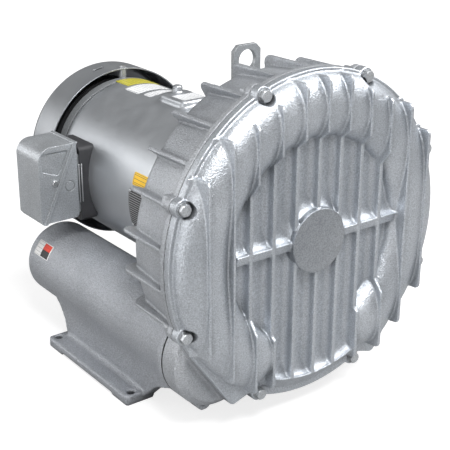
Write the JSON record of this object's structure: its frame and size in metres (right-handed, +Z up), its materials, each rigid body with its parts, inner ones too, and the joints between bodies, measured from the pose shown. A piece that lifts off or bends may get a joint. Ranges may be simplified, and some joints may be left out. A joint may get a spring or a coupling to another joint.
{
  "type": "side channel blower",
  "caption": "Side channel blower: finned cover bolted to a ribbed housing, an electric motor behind it, and silencer castings at both sides that are its feet and ports.",
  "frame": {"origin": "centre of the four foot bolt holes, on the mounting face under the feet", "axes": "+Z up from the mounting face along the foot bolts, +Y back along the shaft from the finned cover to the motor fan and out of the pipe ports, +X to the right seen from the cover"},
  "size_m": [0.4158, 0.5167, 0.449],
  "materials": {
    "cast_paint": "silver painted casting",
    "motor_paint": "smooth grey enamel",
    "zinc_steel": "zinc plated",
    "machined_steel": "ground steel",
    "bare_aluminium": "as cast",
    "gasket_sheet": "matte",
    "foam": "open cell",
    "black_rubber": "matte",
    "laminations": "stacked sheet",
    "copper_winding": "varnished wire",
    "black_plastic": "moulded"
  },
  "bodies": {
    "frame": {"conduit_box_base": "motor_paint", "conduit_box_cover": "motor_paint", "conduit_cover_screws": "zinc_steel", "conduit_neck": "gasket_sheet", "cover_bolts": "zinc_steel", "cover_gasket": "gasket_sheet", "cover_washers": "zinc_steel", "fan_cover": "motor_paint", "fan_cover_screws": "zinc_steel", "front_bearing_outer_ring": "machined_steel", "front_cover": "cast_paint", "front_end_shield": "motor_paint", "lifting_plate": "motor_paint", "lifting_plate_bolts": "zinc_steel", "motor_bolts": "zinc_steel", "motor_shell": "motor_paint", "muffler_bolts": "zinc_steel", "muffler_gaskets": "gasket_sheet", "muffler_left": "cast_paint", "muffler_right": "cast_paint", "preload_washer": "zinc_steel", "rear_bearing_outer_ring": "machined_steel", "rear_end_shield": "motor_paint", "rear_housing": "cast_paint", "shaft_seal": "black_rubber", "silencer_foam_left": "foam", "silencer_foam_right": "foam", "stator_core": "laminations", "stator_windings": "copper_winding"},
    "rotor": {"cooling_fan": "black_plastic", "fan_retaining_ring": "zinc_steel", "front_bearing_inner_ring": "machined_steel", "impeller": "bare_aluminium", "impeller_bolt": "zinc_steel", "impeller_key": "machined_steel", "impeller_washer": "zinc_steel", "rear_bearing_inner_ring": "machined_steel", "rotor_core": "laminations", "rotor_end_rings": "bare_aluminium", "shaft": "machined_steel", "shaft_spacer": "machined_steel"},
    "front_ball_set": {"front_bearing_balls": "machined_steel"},
    "rear_ball_set": {"rear_bearing_balls": "machined_steel"}
  },
  "joints": [
    {"name": "rotor_spin", "type": "hinge", "parent": "frame", "child": "rotor", "pos_m": [0, -0.0515, 0.235], "axis": [0, 1, 0], "continuous": true},
    {"name": "front_ball_spin", "type": "hinge", "parent": "frame", "child": "front_ball_set", "pos_m": [0, -0.1025, 0.235], "axis": [0, 1, 0], "continuous": true},
    {"name": "rear_ball_spin", "type": "hinge", "parent": "frame", "child": "rear_ball_set", "pos_m": [0, 0.1825, 0.235], "axis": [0, 1, 0], "continuous": true}
  ],
  "couplings": [
    {"joint": "front_ball_spin", "follows": "rotor_spin", "ratio": 0.4},
    {"joint": "rear_ball_spin", "follows": "rotor_spin", "ratio": 0.39565}
  ]
}
